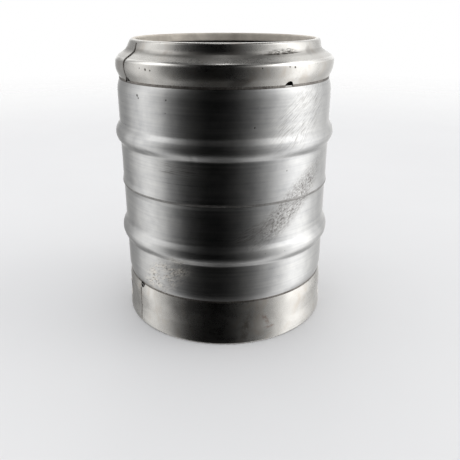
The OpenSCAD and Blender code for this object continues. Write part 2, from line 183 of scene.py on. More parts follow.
foot_path = [
    (r, GIRTH_Z + u)
    for r, u in half_path(
        FOOT_WALL_R, FOOT_WELD_Z - knuckle_rise(FOOT_WELD_INSET) - GIRTH_Z, 0
    )
]
head_path = [
    (r, GIRTH_Z - u)
    for r, u in half_path(
        HEAD_WALL_R, GIRTH_Z - HEAD_WELD_Z - knuckle_rise(HEAD_WELD_INSET), NECK_R + 0.2
    )
]
foot_ring_path = spaced(rounded([
    (165, 517, 0),
    (165, KEG_H, 3.8),
    (174.6, KEG_H, 4.8),
    (179.3, LEDGE_TOP_Z, 16),
    (201.5, SHOULDER_Z, 11),
    (201.5, 488, 38),
    (199.9, 479.8, 40),
    (193.5, 465.1, 0),
]), 3.0)
head_chime_path = spaced(rounded([
    (190.6, 7.5, 0),
    (190.6, 0, 3.6),
    (201.6, 0, 4.5),
    (201.6, 11, 12),
    (199.8, 36, 40),
    (199.8, 70, 70),
    (195.2, 86.8, 0),
]), 3.0)


# ---- mesh builders ----

SHARP_ANGLE = 32.0


def smooth(obj):
    """Smooth shading, with edges kept where faces meet at a sharp angle."""
    obj.data.shade_smooth()
    obj.data.set_sharp_from_angle(angle=math.radians(SHARP_ANGLE))


def add_mesh(name, verts, faces):
    """A mesh object in the scene, with its faces turned outwards."""
    mesh = bpy.data.meshes.new(name)
    mesh.from_pydata(verts, [], faces)
    obj = bpy.data.objects.new(name, mesh)
    bpy.context.scene.collection.objects.link(obj)
    bm = bmesh.new()
    bm.from_mesh(mesh)
    bmesh.ops.recalc_face_normals(bm, faces=bm.faces)
    bm.to_mesh(mesh)
    bm.free()
    smooth(obj)
    return obj


def turned(name, outline, count=288, start=0.0, sweep=360.0, shape=None):
    """A closed outline turned about Z. shape(r, z, bearing) may move its points."""
    whole = sweep >= 360
    columns = count if whole else count + 1
    angle = np.radians(start + sweep * np.arange(columns) / count)
    verts, rows = [], []
    for r, z in outline:
        if r < 1e-6:
            rows.append([len(verts)] * columns)
            verts.append((0.0, 0.0, z * MM))
            continue
        rr, zz = np.full(columns, r), np.full(columns, z)
        if shape:
            rr, zz = shape(rr, zz, angle)
        rows.append(list(range(len(verts), len(verts) + columns)))
        verts += list(zip(rr * np.cos(angle) * MM, rr * np.sin(angle) * MM, zz * MM))
    faces = []
    for i, row in enumerate(rows):
        following = rows[(i + 1) % len(rows)]
        for j in range(count):
            k = (j + 1) % columns
            quad = [row[j], row[k], following[k], following[j]]
            quad = [v for n, v in enumerate(quad) if v not in quad[:n]]
            if len(quad) > 2:
                faces.append(quad)
    if not whole:
        faces += [[row[0] for row in rows], [row[-1] for row in rows][::-1]]
    return add_mesh(name, verts, faces)


def wave(seed, size):
    """A gentle unevenness of size mm, always inwards, as pressed sheet has."""
    draw = random.Random(seed)
    terms = [
        (
            draw.randint(2, 15), draw.uniform(0.004, 0.035),
            draw.uniform(0, 6.28), draw.uniform(0.3, 1),
        )
        for _ in range(12)
    ]
    total = sum(t[3] for t in terms)

    def moved(z, angle):
        s = sum(w * np.cos(n * angle + m * z + p) for n, m, p, w in terms) / total
        return -size * (0.5 + 0.5 * s)

    return moved


def dented(dents, seed, size):
    """Shape for turned() with dents and a gentle unevenness.

    Dents are (bearing, height, half width, half height, depth, slope) in mm and degrees, where
    slope turns the dent on the wall."""
    ripple = wave(seed, size)

    def shape(r, z, angle):
        push = ripple(z, angle)
        for az, dz, half_w, half_h, depth, slope in dents:
            u = r * ((angle - math.radians(az) + math.pi) % (2 * math.pi) - math.pi)
            v = z - dz
            c, s = math.cos(math.radians(slope)), math.sin(math.radians(slope))
            a, b = (u * c + v * s) / half_w, (-u * s + v * c) / half_h
            push = push - depth * np.exp(-a * a - b * b)
        return r + push, z

    return shape


BAR_FROM, BAR_TO = 150, 220  # cutting bars reach past both faces of ring and chime


def radial_bar(outline, az, r_from, r_to):
    """A bar along a bearing. Its outline is in (distance to the left, height)."""
    c, s = math.cos(math.radians(az)), math.sin(math.radians(az))
    n = len(outline)
    verts = [
        ((r * c - u * s) * MM, (r * s + u * c) * MM, v * MM)
        for r in (r_from, r_to)
        for u, v in outline
    ]
    faces = [[i, (i + 1) % n, n + (i + 1) % n, n + i] for i in range(n)]
    faces += [list(range(n))[::-1], list(range(n, 2 * n))]
    return add_mesh("cutter", verts, faces)


def cut(obj, tools):
    """Takes the tools out of a mesh and then deletes them."""
    for tool in tools:
        step = obj.modifiers.new("cut", "BOOLEAN")
        step.object, step.operation, step.solver = tool, "DIFFERENCE", "EXACT"
    evaluated = obj.evaluated_get(bpy.context.evaluated_depsgraph_get())
    mesh = bpy.data.meshes.new_from_object(evaluated)
    obj.modifiers.clear()
    obj.data = mesh
    for tool in tools:
        bpy.data.objects.remove(tool)
    smooth(obj)


def notch_bars(count, first_az, z, notch_r):
    """Round bars for half-moon notches, set evenly around the keg."""
    ring = [(u, z + v) for u, v in arc(0, 0, notch_r, 0, 345, 23)]
    return [radial_bar(ring, first_az + 360 / count * i, BAR_FROM, BAR_TO) for i in range(count)]


def rounded_box(w, h, corner, n=6):
    """Outline of a rectangle with round corners about the origin, with its outward directions."""
    pts, normals = [], []
    for k, (sx, sy) in enumerate([(1, 1), (-1, 1), (-1, -1), (1, -1)]):
        cx, cy = sx * (w / 2 - corner), sy * (h / 2 - corner)
        for i in range(n + 1):
            t = math.radians(90 * k + 90 * i / n)
            normals.append((math.cos(t), math.sin(t)))
            pts.append((cx + corner * math.cos(t), cy + corner * math.sin(t)))
    return pts, normals


def spring(name, z0, z1, coil_r, wire_d, turns, per_turn=40, sides=12):
    """A compression spring with a closed turn at each end, between its outer faces z0 and z1."""
    rise = z1 - z0 - wire_d
    closed = wire_d * 1.06 / rise
    verts, faces = [], []
    count = turns * per_turn
    for i in range(count + 1):
        t = i / per_turn
        if t < 1:
            lift = closed * t
        elif t > turns - 1:
            lift = 1 - closed * (turns - t)
        else:
            lift = closed + (1 - 2 * closed) * (t - 1) / (turns - 2)
        a = 2 * math.pi * t
        for j in range(sides):
            b = 2 * math.pi * j / sides
            r = coil_r + wire_d / 2 * math.cos(b)
            z = z0 + wire_d / 2 + rise * lift + wire_d / 2 * math.sin(b)
            verts.append((r * math.cos(a) * MM, r * math.sin(a) * MM, z * MM))
    for i in range(count):
        for j in range(sides):
            k = (j + 1) % sides
            faces.append([i * sides + j, i * sides + k, (i + 1) * sides + k, (i + 1) * sides + j])
    faces.append(list(range(sides)))
    faces.append([count * sides + j for j in range(sides)][::-1])
    return add_mesh(name, verts, faces)


# ---- materials ----

def add_node(tree, kind, inputs=None, **settings):
    """A node whose inputs are linked to a socket or set to a value."""
    made = tree.nodes.new(kind)
    for key, value in settings.items():
        setattr(made, key, value)
    for key, value in (inputs or {}).items():
        if isinstance(value, bpy.types.NodeSocket):
            tree.links.new(value, made.inputs[key])
        else:
            made.inputs[key].default_value = value
    return made


class Look:
    """A material and short ways to add nodes to it."""

    def __init__(self, name):
        self.material = bpy.data.materials.new(name)
        self.material.use_nodes = True
        self.tree = self.material.node_tree
        self.shader = self.tree.nodes["Principled BSDF"]
        coords = self.node("ShaderNodeTexCoord")
        self.place = coords.outputs["Object"]

    def node(self, kind, inputs=None, **settings):
        return add_node(self.tree, kind, inputs, **settings)

    def math(self, operation, a, b=0.0, clamp=False):
        made = self.node("ShaderNodeMath", {0: a, 1: b}, operation=operation, use_clamp=clamp)
        return made.outputs[0]

    def times(self, a, b):
        return self.math("MULTIPLY", a, b)

    def plus(self, a, b):
        return self.math("ADD", a, b)

    def stretched(self, x, y, z):
        """Object coordinates scaled by x, y and z."""
        return self.node("ShaderNodeMapping", {"Vector": self.place, "Scale": (x, y, z)}).outputs[0]

    def noise(self, vector, scale=1.0, detail=3.0, roughness=0.55, warp=0.0):
        made = self.node("ShaderNodeTexNoise", {
            "Vector": vector, "Scale": scale, "Detail": detail, "Roughness": roughness,
            "Distortion": warp,
        })
        return made.outputs["Fac"]

    def span(self, value, low, high, to_low=0.0, to_high=1.0, smooth_step=False):
        """Carries low to high over to to_low to to_high, and stays there past both ends."""
        made = self.node(
            "ShaderNodeMapRange",
            {"Value": value, "From Min": low, "From Max": high, "To Min": to_low, "To Max": to_high},
            interpolation_type="SMOOTHSTEP" if smooth_step else "LINEAR",
        )
        return made.outputs[0]

    def mix(self, share, a, b):
        """Colour a, turning into b as share rises to 1."""
        made = self.node("ShaderNodeMix", data_type="RGBA")
        for socket, value in ((0, share), (6, a), (7, b)):
            if isinstance(value, bpy.types.NodeSocket):
                self.tree.links.new(value, made.inputs[socket])
            else:
                made.inputs[socket].default_value = value if socket == 0 else (*value, 1.0)
        return made.outputs[2]

    def total(self, parts):
        """The sum of (socket, weight) pairs."""
        out = None
        for socket, weight in parts:
            part = self.times(socket, weight)
            out = part if out is None else self.plus(out, part)
        return out

    def largest(self, parts):
        """The largest of several sockets."""
        out = parts[0]
        for part in parts[1:]:
            out = self.math("MAXIMUM", out, part)
        return out

    def height(self):
        """Height above the floor, in metres."""
        return self.node("ShaderNodeSeparateXYZ", {0: self.place}).outputs[2]

    def axis_distance(self):
        """Distance from the keg's axis, in metres."""
        level = (1, 1, 0)
        flat = self.node("ShaderNodeVectorMath", {0: self.place, 1: level}, operation="MULTIPLY")
        made = self.node("ShaderNodeVectorMath", {0: flat.outputs[0]}, operation="LENGTH")
        return made.outputs["Value"]

    def band(self, value, low, high, soft):
        """1 between low and high, fading out over soft on both sides, all three in mm."""
        up = self.span(value, (low - soft) * MM, low * MM, smooth_step=True)
        down = self.span(value, high * MM, (high + soft) * MM, 1.0, 0.0, smooth_step=True)
        return self.times(up, down)

    def wall_coords(self, az, z, slope=0.0):
        """A vector of the distances, in metres, along and across a direction on the wall.

        They start from a point at a bearing and a height. slope turns the direction upwards to
        the right."""
        away = self.node(
            "ShaderNodeMapping",
            {"Vector": self.place, "Rotation": (0, 0, -math.radians(az - FRONT))},
        )
        x, y, h = self.node("ShaderNodeSeparateXYZ", {0: away.outputs[0]}).outputs
        angle = self.math("ARCTAN2", x, self.times(y, -1.0))
        along = self.times(angle, WALL_R * MM)
        rise = self.math("SUBTRACT", h, z * MM)
        flat = self.node("ShaderNodeCombineXYZ", {0: along, 1: rise})
        tilted = self.node("ShaderNodeMapping", {
            "Vector": flat.outputs[0], "Rotation": (0, 0, -math.radians(slope)),
        })
        return tilted.outputs[0]

    def patch(self, flat, half_w, half_h):
        """1 in the middle of an ellipse of wall_coords, in mm, fading to 0 at its edge."""
        scaled = self.node("ShaderNodeMapping", {
            "Vector": flat, "Scale": (1 / (half_w * MM), 1 / (half_h * MM), 0),
        })
        distance = self.node("ShaderNodeVectorMath", {0: scaled.outputs[0]}, operation="LENGTH")
        return self.span(distance.outputs["Value"], 1.0, 0.35, smooth_step=True)

    def scratches(self, flat, length, width, density):
        """Fine lines along the first of the wall_coords, where density sets how many there are."""
        scaled = self.node("ShaderNodeMapping", {
            "Vector": flat, "Scale": (1 / (length * MM), 1 / (width * MM), 1),
        })
        lines = self.noise(scaled.outputs[0], 1.0, 3.0, 0.7)
        return self.span(lines, 0.72 - density, 0.80 - density, smooth_step=True)

    def speck(self, az, z, size, r=WALL_R):
        """A small round mark on the wall; size is its radius in mm."""
        a = math.radians(az)
        point = (r * math.cos(a) * MM, r * math.sin(a) * MM, z * MM)
        ragged = self.noise(self.place, 420.0, 2.0)
        gap = self.node("ShaderNodeVectorMath", {0: self.place, 1: point}, operation="DISTANCE")
        reach = self.plus(gap.outputs["Value"], self.times(ragged, -size * MM))
        return self.span(reach, size * 0.6 * MM, -size * 0.2 * MM, smooth_step=True)

    def finish(self, colour, rough, height=None, bump=0.1, reach=0.0002, metallic=1.0, aniso=0.0):
        """Wires up the shader. aniso is the stretch of reflections across the brushing."""
        sockets = self.shader.inputs
        if isinstance(metallic, bpy.types.NodeSocket):
            self.tree.links.new(metallic, sockets["Metallic"])
        else:
            sockets["Metallic"].default_value = metallic
        self.tree.links.new(colour, sockets["Base Color"])
        self.tree.links.new(rough, sockets["Roughness"])
        if height is not None:
            relief = self.node("ShaderNodeBump", {
                "Height": height, "Strength": bump, "Distance": reach,
            })
            self.tree.links.new(relief.outputs[0], sockets["Normal"])
        if aniso:
            sockets["Anisotropic"].default_value = aniso
            sockets["Anisotropic Rotation"].default_value = 0.25
            tangent = self.node("ShaderNodeTangent", direction_type="RADIAL", axis="Z")
            self.tree.links.new(tangent.outputs[0], sockets["Tangent"])
        return self.material


def bearing(from_front):
    """Bearing of a spot that many degrees to the right of the front."""
    return FRONT + from_front


def shell_look():
    """Satin sheet brushed around the keg, with handling scuffs, dull patches and dark specks."""
    k = Look("shell_satin_steel")
    fine = k.noise(k.stretched(18, 18, 1500), 1.0, 4.0, 0.65)
    streak = k.noise(k.stretched(6, 6, 260), 1.0, 3.0, 0.6)
    cloud = k.noise(k.place, 11.0, 4.0, 0.6, 0.4)
    spots = k.noise(k.place, 55.0, 3.0, 0.6)

    # handling scuffs on the right, the worn patch low on the left, level lines and specks
    swipe = k.wall_coords(bearing(36), 262, 40)
    swipe_patch = k.patch(swipe, 140, 36)
    swipe_lines = k.times(swipe_patch, k.scratches(swipe, 11, 1.5, 0.225))
    swipe_dots = k.times(swipe_patch, k.scratches(swipe, 3.4, 1.9, 0.215))
    tail = k.wall_coords(bearing(14), 222, 26)
    tail_lines = k.times(k.patch(tail, 56, 16), k.scratches(tail, 26, 1.4, 0.26))
    high = k.wall_coords(bearing(42), 415, 38)
    high_patch = k.patch(high, 105, 58)
    high_lines = k.times(high_patch, k.scratches(high, 30, 1.7, 0.21))
    worn = k.wall_coords(bearing(-33), 128, 33)
    torn = k.span(k.noise(k.stretched(38, 38, 95), 1.0, 4.0, 0.7, 0.5), 0.36, 0.60)
    worn_patch = k.times(k.patch(worn, 84, 40), torn)
    worn_lines = k.times(worn_patch, k.scratches(worn, 7, 3.4, 0.215))
    worn_light = k.times(worn_patch, k.scratches(worn, 24, 6.0, 0.29))
    level = k.wall_coords(bearing(-22), 331, -3)
    level_lines = k.times(k.patch(level, 62, 17), k.scratches(level, 80, 1.2, 0.20))
    scuffs = k.largest([
        swipe_lines, k.times(swipe_dots, 0.8), k.times(tail_lines, 0.8),
        k.times(high_lines, 0.5), k.times(worn_lines, 0.8), level_lines,
    ])

    specks = k.largest([
        k.speck(bearing(-47), 447, 3.0), k.speck(bearing(-46), 443, 2.2),
        k.speck(bearing(-28), 445, 2.2), k.speck(bearing(-28.7), 424, 1.5),
        k.speck(bearing(14), 404, 2.2), k.speck(bearing(32), 326, 1.9),
        k.speck(bearing(20), 183, 1.2, 206), k.speck(bearing(31), 181, 1.2, 206),
        k.speck(bearing(150), 402, 2.4), k.speck(bearing(98), 215, 2.0),
        k.speck(bearing(-120), 318, 2.2), k.speck(bearing(-160), 236, 1.8),
    ])

    # painted shade in the crevices along the welds, and near-black painted shade on the shell hidden
    # inside the ring and the chime, where it shows through the drain notches
    z = k.height()
    weld_crevice_shade = k.largest([
        k.band(z, FOOT_WELD_Z - 1.9, FOOT_WELD_Z - 0.3, 0.8),
        k.band(z, HEAD_WELD_Z - 0.2, HEAD_WELD_Z + 1.6, 1.0),
        k.times(k.band(z, GIRTH_Z - 3.0, GIRTH_Z - 1.2, 1.0), 0.75),
    ])
    behind_notches = k.largest([
        k.span(z, (HEAD_WELD_Z - 0.2) * MM, (HEAD_WELD_Z - 1.2) * MM),
        k.band(z, FOOT_WELD_Z + 0.9, FOOT_WELD_Z + 18.5, 0.6),
    ])
    hidden_shell_shade = k.times(behind_notches, k.span(k.axis_distance(), 0.178, 0.184))

    tone = k.total([(cloud, 0.40), (spots, 0.25), (streak, 0.35)])
    tone = k.span(tone, 0.36, 0.64)
    colour = k.mix(tone, (0.44, 0.445, 0.455), (0.64, 0.64, 0.635))
    colour = k.mix(k.times(worn_light, 0.80), colour, (0.93, 0.89, 0.83))
    colour = k.mix(k.times(scuffs, 0.85), colour, (0.115, 0.100, 0.092))
    # painted shade: the weld crevices darkened in colour
    colour = k.mix(k.times(weld_crevice_shade, 0.80), colour, (0.13, 0.12, 0.11))
    colour = k.mix(specks, colour, (0.04, 0.035, 0.03))
    # painted shade: the hidden shell behind the notches made near black
    colour = k.mix(hidden_shell_shade, colour, (0.012, 0.011, 0.010))
    rough = k.total([
        (cloud, 0.12), (streak, 0.16), (fine, 0.12), (scuffs, 0.18), (specks, 0.3), (hidden_shell_shade, 0.4),
        (swipe_patch, 0.07), (high_patch, 0.04), (worn_patch, 0.06), (worn_light, 0.14),
    ])
    rough = k.plus(rough, 0.12)
    height = k.total([(fine, 0.7), (streak, 0.8), (scuffs, -0.45), (spots, 0.5), (specks, -2.0)])
    return k.finish(colour, rough, height, 0.22, 0.0003, aniso=0.55)


def chime_look():
    """Duller, mottled sheet of foot ring and head chime, stained and scraped by stacking."""
    k = Look("chime_worn_steel")
    fine = k.noise(k.stretched(26, 26, 900), 1.0, 4.0, 0.65)
    grain = k.noise(k.place, 320.0, 4.0, 0.7)
    cloud = k.noise(k.place, 16.0, 5.0, 0.62, 0.6)
    blot = k.noise(k.stretched(30, 30, 20), 1.0, 4.0, 0.65, 0.8)

    # the scrape on the ring's band, smudges, stains and specks
    scrape = k.wall_coords(bearing(31), 517.5, 2)
    scrape_lines = k.times(k.patch(scrape, 44, 6.0), k.scratches(scrape, 12, 1.1, 0.27))
    gouge = k.patch(k.wall_coords(bearing(30), 514.5, 1), 66, 1.9)
    gouge = k.times(gouge, k.span(k.noise(k.place, 130.0, 3.0, 0.7), 0.30, 0.50))
    scrape_lines = k.largest([scrape_lines, gouge])
    smudge = k.times(k.patch(k.wall_coords(bearing(51), 517, 30), 13, 9), 0.55)
    dim = k.patch(k.wall_coords(bearing(7), 474, 8), 26, 9)
    # darker in colour low on the chime's left, over its dents
    darker_left = k.times(k.patch(k.wall_coords(bearing(-80), 42, 0), 62, 62), 0.75)
    ragged = k.span(k.noise(k.place, 95.0, 4.0, 0.7), 0.36, 0.56)
    upright = k.times(k.patch(k.wall_coords(bearing(11), 35, 76), 40, 11), ragged)
    rust = k.times(k.patch(k.wall_coords(bearing(22), 46, -62), 20, 6), ragged)
    rust_low = k.times(k.patch(k.wall_coords(bearing(24), 29, 4), 14, 4), ragged)
    pale = k.wall_coords(bearing(36), 486, 36)
    pale_lines = k.times(k.patch(pale, 60, 18), k.scratches(pale, 20, 1.0, 0.14))
    specks = k.largest([
        k.speck(bearing(-39), 490.5, 2.3, 201), k.speck(bearing(-36), 489.3, 1.8, 201),
        k.speck(bearing(-43), 492, 1.4, 201), k.speck(bearing(34), 495, 2.0, 201),
        k.speck(bearing(31), 496, 1.6, 201), k.speck(bearing(17), 496, 1.5, 201),
        k.speck(bearing(120), 492, 2.4, 201), k.speck(bearing(170), 60, 2.2),
    ])

    # painted shade in the weld crevices and in the corner above the ring's ledge, the ring's bare
    # inside, and its shoulder, worn by stacking, with a painted highlight
    z = k.height()
    crease_shade = k.largest([
        k.band(z, FOOT_WELD_Z - 1.5, FOOT_WELD_Z + 0.1, 0.8),
        k.band(z, HEAD_WELD_Z - 0.8, HEAD_WELD_Z + 1.6, 0.8),
        # painted shade in the concave corner between the ring's band and its ledge
        k.times(k.band(z, LEDGE_TOP_Z - 2.1, LEDGE_TOP_Z + 1.4, 4.0), 0.45),
    ])
    crease_shade = k.times(crease_shade, k.span(blot, 0.25, 0.7, 0.35, 1.0))
    inside = k.times(k.span(k.axis_distance(), 0.1690, 0.1665), k.span(z, 0.500, 0.512))
    shoulder_wear_and_highlight = k.band(z, SHOULDER_Z - 1.4, SHOULDER_Z + 2.4, 1.5)

    tone = k.span(k.total([(cloud, 0.60), (blot, 0.28), (grain, 0.12)]), 0.34, 0.66)
    colour = k.mix(tone, (0.42, 0.41, 0.395), (0.66, 0.65, 0.63))
    colour = k.mix(k.times(k.span(blot, 0.52, 0.72), 0.45), colour, (0.40, 0.34, 0.28))
    # painted highlight: a lighter line of colour along the shoulder; the lower roughness given to it
    # below is polish from wear
    colour = k.mix(k.times(shoulder_wear_and_highlight, 0.7), colour, (0.86, 0.85, 0.83))
    inner = k.mix(k.span(cloud, 0.34, 0.66), (0.46, 0.42, 0.37), (0.76, 0.71, 0.64))
    colour = k.mix(inside, colour, inner)
    rust_all = k.math("ADD", rust, rust_low, clamp=True)
    colour = k.mix(k.times(rust_all, 0.55), colour, (0.20, 0.09, 0.055))
    colour = k.mix(k.times(upright, 0.6), colour, (0.20, 0.165, 0.13))
    dull = k.largest([smudge, dim, darker_left])
    colour = k.mix(k.times(dull, 0.6), colour, (0.13, 0.11, 0.10))
    colour = k.mix(k.times(pale_lines, 0.4), colour, (0.28, 0.26, 0.24))
    colour = k.mix(k.times(scrape_lines, 0.95), colour, (0.045, 0.040, 0.036))
    # painted shade: the weld crevices and the corner above the ledge darkened in colour
    colour = k.mix(k.times(crease_shade, 0.85), colour, (0.07, 0.06, 0.05))
    colour = k.mix(specks, colour, (0.05, 0.04, 0.035))
    rough = k.total([
        (cloud, 0.16), (blot, 0.14), (fine, 0.08), (grain, 0.08), (scrape_lines, 0.25),
        (crease_shade, 0.25), (specks, 0.3), (inside, 0.4), (shoulder_wear_and_highlight, -0.10),
    ])
    rough = k.plus(rough, 0.05)
    height = k.total([
        (fine, 0.4), (grain, 0.14), (blot, 0.5), (scrape_lines, -0.4), (pale_lines, -0.8),
        (specks, -2.0),
    ])
    metallic = k.span(inside, 0.0, 1.0, 1.0, 0.6)
    return k.finish(colour, rough, height, 0.20, 0.0003, metallic, 0.45)


def weld_look(name="weld_bead_steel", dark=(0.10, 0.09, 0.085), light=(0.34, 0.32, 0.30)):
    """Rippled bead, dark with scale where it was never cleaned."""
    k = Look(name)
    scale = k.noise(k.place, 260.0, 4.0, 0.7)
    cloud = k.noise(k.place, 30.0, 3.0, 0.6)
    colour = k.mix(k.span(k.total([(scale, 0.5), (cloud, 0.5)]), 0.35, 0.65), dark, light)
    rough = k.plus(k.times(scale, 0.3), 0.32)
    return k.finish(colour, rough, scale, 0.35, 0.0003)


def turned_look(name, low, high, base_rough):
    """Machined or drawn steel with fine rings around its axis."""
    k = Look(name)
    rings = k.noise(k.stretched(12, 12, 2600), 1.0, 3.0, 0.6)
    cloud = k.noise(k.place, 60.0, 4.0, 0.6, 0.5)
    colour = k.mix(k.span(k.total([(rings, 0.4), (cloud, 0.6)]), 0.35, 0.65), low, high)
    rough = k.total([(rings, 0.12), (cloud, 0.14)])
    rough = k.plus(rough, base_rough)
    return k.finish(colour, rough, rings, 0.12, 0.0001, aniso=0.3)


def wire_look():
    """Drawn spring wire."""
    k = Look("spring_wire")
    drawn = k.noise(k.place, 700.0, 3.0, 0.6)
    cloud = k.noise(k.place, 90.0, 3.0, 0.6)
    colour = k.mix(k.span(cloud, 0.35, 0.65), (0.30, 0.31, 0.32), (0.50, 0.51, 0.52))
    rough = k.plus(k.times(drawn, 0.2), 0.22)
    return k.finish(colour, rough, drawn, 0.12, 0.0001)


def ball_look():
    """Polished ball with a light haze."""
    k = Look("ball_polished")
    haze = k.noise(k.place, 240.0, 4.0, 0.6)
    colour = k.mix(haze, (0.72, 0.72, 0.73), (0.84, 0.84, 0.84))
    rough = k.plus(k.times(haze, 0.08), 0.05)
    return k.finish(colour, rough, haze, 0.03, 0.0001)


def rubber_look():
    """Dull black rubber of the seals."""
    k = Look("seal_rubber_black")
    grain = k.noise(k.place, 900.0, 4.0, 0.7)
    cloud = k.noise(k.place, 120.0, 3.0, 0.6)
    colour = k.mix(cloud, (0.018, 0.018, 0.019), (0.040, 0.040, 0.042))
    rough = k.plus(k.times(grain, 0.2), 0.50)
    return k.finish(colour, rough, grain, 0.25, 0.00015, metallic=0.0)


LOOKS = {
    "shell_steel": shell_look(),
    "chime_steel": chime_look(),
    "weld_bead": weld_look(),
    "neck_steel": turned_look("neck_turned_steel", (0.52, 0.52, 0.52), (0.68, 0.68, 0.67), 0.22),
    "spear_steel": turned_look("spear_drawn_steel", (0.56, 0.56, 0.57), (0.72, 0.72, 0.72), 0.18),
    "spring_steel": wire_look(),
    "ball_steel": ball_look(),
    "seal_rubber": rubber_look(),
}


def piece(obj, slot, body, *nodes, look=None):
    """Gives a new mesh its finish, its body and the CAD nodes that it stands for."""
    obj.data.materials.clear()
    obj.data.materials.append(look or LOOKS[slot])
    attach(obj, body)
    if nodes:
        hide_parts(*nodes)
    return obj


# columns around a turned piece: more on the beads, whose ripple is fine
SHEET_COLUMNS = 320
CHIME_COLUMNS = 360
BEAD_COLUMNS = 960
BEAD_RIPPLES = 240
UNEVEN_SHELL = 0.35
UNEVEN_CHIME = 0.3

# ---- shell ----

# dents as (bearing, height, half width, half height, depth, slope)
foot_dents = [
    (bearing(-14.5), 353, 1.5, 8, 0.5, 0), (bearing(36), 351, 1.8, 8, 0.6, -20),
    (bearing(-39), 355, 14, 3, 0.5, -12), (bearing(62), 310, 26, 20, 0.7, 0),
    (bearing(-52), 372, 16, 9, 0.8, 8), (bearing(155), 415, 36, 26, 1.2, 10),
    (bearing(-110), 330, 30, 22, 0.9, -15), (bearing(100), 362, 20, 8, 0.7, 5),
]
head_dents = [
    (bearing(-40), 230, 17, 2.2, 0.7, -16), (bearing(-41), 166, 22, 6, 0.9, -8),
    (bearing(-33), 158, 10, 3, 0.5, 0), (bearing(24), 172, 12, 5, 0.4, 0),
    (bearing(-36), 128, 9, 7, 0.35, 30), (bearing(-30), 120, 7, 5, 0.3, -20),
    (bearing(140), 225, 40, 24, 1.1, -12), (bearing(-150), 150, 26, 18, 0.9, 20),
    (bearing(85), 176, 20, 6, 0.7, 0),
]
foot_shell = turned(
    "foot_shell", sheet_outline(foot_path, -SHELL_T), SHEET_COLUMNS,
    shape=dented(foot_dents, 7, UNEVEN_SHELL),
)
piece(foot_shell, "shell_steel", "keg", "foot_half_shell")
head_shell = turned(
    "head_shell", sheet_outline(head_path, SHELL_T), SHEET_COLUMNS,
    shape=dented(head_dents, 11, UNEVEN_SHELL),
)
piece(head_shell, "shell_steel", "keg", "head_half_shell")


def rippled(count, size):
    """Shape for turned(): the ripple of a weld bead, always inwards."""
    def shape(r, z, angle):
        return r - size * (0.5 + 0.5 * np.cos(count * angle + 0.6 * np.sin(9 * angle))), z
    return shape


girth_r = (FOOT_WALL_R + HEAD_WALL_R) / 2 + BELT_RISE
girth_outline = [(girth_r - 1.0, GIRTH_Z - 2.2)]
girth_outline += [
    (girth_r + 0.45 * (1 - s * s) - 0.05, GIRTH_Z + 2.2 * s) for s in np.linspace(-1, 1, 9)
]
girth_outline += [(girth_r - 1.0, GIRTH_Z + 2.2)]
girth_bead = turned("girth_bead", girth_outline, BEAD_COLUMNS, shape=rippled(BEAD_RIPPLES, 0.12))
girth_look = weld_look("girth_bead_steel", (0.20, 0.195, 0.19), (0.46, 0.455, 0.45))
piece(girth_bead, "weld_bead", "keg", "girth_weld", look=girth_look)

# ---- foot ring ----

ring_dents = [
    (bearing(-90), 536, 70, 14, 5.5, 0), (bearing(-85), 500, 80, 14, 2.6, 0),
    (bearing(82), 513, 26, 8, 1.6, 0), (bearing(-58), 507, 18, 8, 1.2, 20),
    (bearing(-25), 470, 30, 4, 0.35, 0), (bearing(15), 530, 22, 6, 0.3, 0),
    (bearing(130), 495, 26, 12, 1.4, 0), (bearing(-140), 521, 20, 10, 0.9, 0),
]
foot_ring = turned(
    "foot_ring_sheet", sheet_outline(foot_ring_path, CHIME_T), SHEET_COLUMNS,
    shape=dented(ring_dents, 3, UNEVEN_CHIME),
)
cut(foot_ring, notch_bars(4, FOOT_NOTCH_AZ, FOOT_WELD_Z, FOOT_NOTCH_R))
piece(foot_ring, "chime_steel", "keg", "foot_ring")

foot_groove = FOOT_WALL_R - FOOT_WELD_INSET
foot_bead = turned("foot_ring_bead", rounded([
    (foot_groove - 2.2, FOOT_WELD_Z + 2.4, 0), (foot_groove + 0.4, FOOT_WELD_Z - 2.2, 0.4),
    (foot_groove + 1.1, FOOT_WELD_Z - 1.2, 0.6), (foot_groove + 1.1, FOOT_WELD_Z + 1.6, 0.4),
    (foot_groove + 0.4, FOOT_WELD_Z + 2.4, 0),
], 4), BEAD_COLUMNS, shape=rippled(BEAD_RIPPLES, 0.15))
cut(foot_bead, notch_bars(4, FOOT_NOTCH_AZ, FOOT_WELD_Z, FOOT_NOTCH_R))
piece(foot_bead, "weld_bead", "keg", "foot_ring_weld")


def seam(name, path, side, z_low, z_high, min_r, az, width=3.2):
    """An upright bead on the outer face of a sheet, rippled along its length."""
    span = [p for p in spaced(path, 1.2) if z_low < p[1] < z_high and p[0] > min_r]
    crest = beside(span, -side * 0.40)
    crest = [(r - 0.10 * (1 + math.cos(i * 2.1)), z) for i, (r, z) in enumerate(crest)]
    angle = math.degrees(width / WALL_R)

    def shape(r, z, a):
        s = (np.degrees(a) - az) / (angle / 2)
        return r - 0.42 * s * s, z

    return turned(name, crest + beside(span, side * 0.5)[::-1], 8, az - angle / 2, angle, shape)


piece(
    seam("foot_ring_joint", foot_ring_path, 1, FOOT_WELD_Z + 1, KEG_H - 4, 172.0, FOOT_SEAM_AZ),
    "weld_bead", "keg", "foot_ring_seam",
)

# ---- head chime ----

